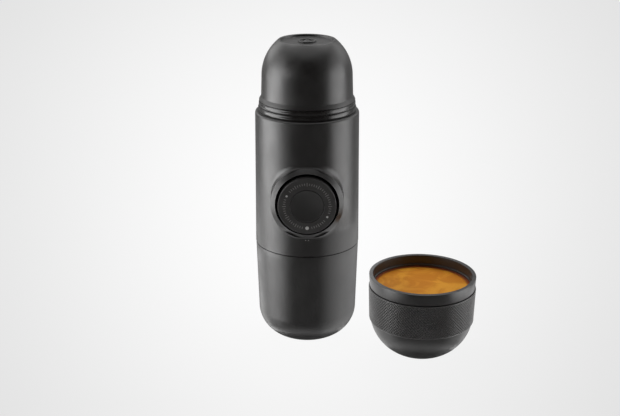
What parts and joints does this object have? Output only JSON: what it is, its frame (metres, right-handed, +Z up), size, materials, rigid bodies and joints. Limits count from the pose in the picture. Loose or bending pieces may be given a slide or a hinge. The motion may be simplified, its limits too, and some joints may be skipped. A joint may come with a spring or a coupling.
{
  "type": "handheld manual espresso maker",
  "caption": "Hand-pumped espresso maker: upright tube body with a round pump knob on its front, water tank below, domed outlet head on top, and its rounded cup with a grip band beside it.",
  "frame": {"origin": "centre of the water tank's flat foot, on the table", "axes": "+Z up along the machine, -Y out of the front through the pump knob, +X to the right, where the cup stands"},
  "size_m": [0.1223, 0.0831, 0.1715],
  "materials": {
    "shell_plastic": "satin moulded graphite",
    "gloss_plastic": "polished moulded black",
    "knob_plastic": "fine satin moulded black",
    "grip_plastic": "fine diamond knurl",
    "inner_plastic": "plain moulded",
    "silicone": "moulded silicone",
    "stainless_steel": "pressed and drawn"
  },
  "bodies": {
    "tank": {"tank_shell": "shell_plastic", "tank_seal": "silicone"},
    "main_body": {"body_shell": "shell_plastic", "knob_bezel": "gloss_plastic", "tank_connector": "inner_plastic", "connector_seal": "silicone", "inlet_strainer": "stainless_steel", "vent_valve": "silicone", "pump_cylinder": "inner_plastic", "pump_screws": "stainless_steel", "cylinder_gland": "inner_plastic", "pump_spring": "stainless_steel", "inlet_valve_seat": "silicone", "inlet_valve_spring": "stainless_steel", "outlet_valve_seat": "silicone", "outlet_valve_spring": "stainless_steel", "delivery_tube": "silicone", "brew_head": "inner_plastic", "brew_head_screws": "stainless_steel", "shower_screen": "stainless_steel", "shower_screw": "stainless_steel", "brew_gasket": "silicone", "neck_collar": "gloss_plastic"},
    "inlet_ball": {"inlet_valve_ball": "stainless_steel"},
    "outlet_ball": {"outlet_valve_ball": "stainless_steel"},
    "piston": {"piston_rod": "inner_plastic", "piston_seal": "silicone", "knob_screw": "stainless_steel"},
    "knob": {"pump_knob": "knob_plastic", "knob_disc": "knob_plastic"},
    "basket": {"filter_basket": "stainless_steel"},
    "head": {"outlet_head": "shell_plastic", "outlet_nozzle": "inner_plastic", "head_seal": "silicone"},
    "cup": {"cup_shell": "shell_plastic", "cup_grip": "grip_plastic"}
  },
  "joints": [
    {"name": "body_lift", "type": "slide", "parent": "tank", "child": "main_body", "axis": [0, 0, 1], "range_m": [0, 0.07]},
    {"name": "pump_stroke", "type": "slide", "parent": "main_body", "child": "piston", "axis": [0, -1, 0], "range_m": [0, 0.012], "deforming": ["pump_spring"]},
    {"name": "knob_turn", "type": "hinge", "parent": "piston", "child": "knob", "pos_m": [0, -0.034, 0.0886], "axis": [0, 1, 0], "range_deg": [0, 60]},
    {"name": "inlet_valve_lift", "type": "slide", "parent": "main_body", "child": "inlet_ball", "axis": [0, 0, 1], "range_m": [0, 0.0008], "deforming": ["inlet_valve_spring"]},
    {"name": "outlet_valve_lift", "type": "slide", "parent": "main_body", "child": "outlet_ball", "axis": [0, 0, 1], "range_m": [0, 0.0008], "deforming": ["outlet_valve_spring"]},
    {"name": "head_lift", "type": "slide", "parent": "main_body", "child": "head", "axis": [0, 0, 1], "range_m": [0, 0.06]},
    {"name": "basket_lift", "type": "slide", "parent": "main_body", "child": "basket", "axis": [0, 0, 1], "range_m": [0, 0.03]},
    {"name": "cup_lift", "type": "slide", "parent": "tank", "child": "cup", "axis": [0, 0, 1], "range_m": [0, 0.12]}
  ],
  "couplings": [
    {"joint": "basket_lift", "follows": "head_lift", "ratio": 0.5}
  ]
}
